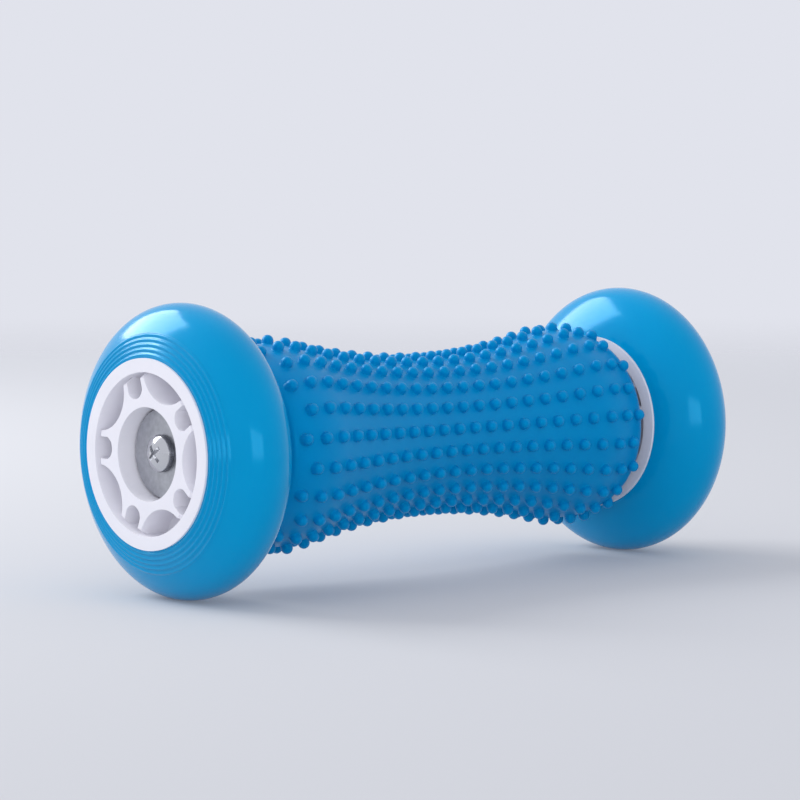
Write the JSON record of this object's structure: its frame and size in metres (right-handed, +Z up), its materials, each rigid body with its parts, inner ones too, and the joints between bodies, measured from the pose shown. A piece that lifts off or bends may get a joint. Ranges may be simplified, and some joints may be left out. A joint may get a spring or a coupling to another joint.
{
  "type": "foot massage roller",
  "caption": "Hourglass roller covered in soft blunt nubs on an axle between a pair of free-turning blue wheels with white ribbed hubs, for rolling under the foot.",
  "frame": {"origin": "middle of the axle, halfway between the wheels, one wheel radius above the floor", "axes": "+X along the axle towards the right wheel, +Y forward along the way it rolls, +Z up"},
  "size_m": [0.1784, 0.073, 0.073],
  "materials": {
    "soft_blue": "satin soft thermoplastic rubber",
    "gloss_blue": "glossy soft moulding",
    "white_plastic": "smooth satin",
    "nylon": "natural nylon, satin",
    "steel": "drawn bright bar",
    "zinc": "zinc plated, satin",
    "chrome": "bright nickel plate"
  },
  "bodies": {
    "roller": {"axle_rod": "steel", "core_tube": "white_plastic", "spiked_sleeve": "soft_blue", "end_cap_left": "white_plastic", "end_cap_right": "white_plastic", "thrust_spacer_left": "nylon", "thrust_spacer_right": "nylon", "retaining_washer_left": "zinc", "retaining_washer_right": "zinc", "lock_washer_left": "zinc", "lock_washer_right": "zinc", "end_screw_left": "chrome", "end_screw_right": "chrome"},
    "wheel_left": {"hub_left": "white_plastic", "tyre_left": "gloss_blue", "hub_bush_left": "nylon"},
    "wheel_right": {"hub_right": "white_plastic", "tyre_right": "gloss_blue", "hub_bush_right": "nylon"}
  },
  "joints": [
    {"name": "wheel_left_spin", "type": "hinge", "parent": "roller", "child": "wheel_left", "pos_m": [-0.0775, 0, 0], "axis": [1, 0, 0], "continuous": true},
    {"name": "wheel_right_spin", "type": "hinge", "parent": "roller", "child": "wheel_right", "pos_m": [0.0775, 0, 0], "axis": [1, 0, 0], "continuous": true}
  ]
}
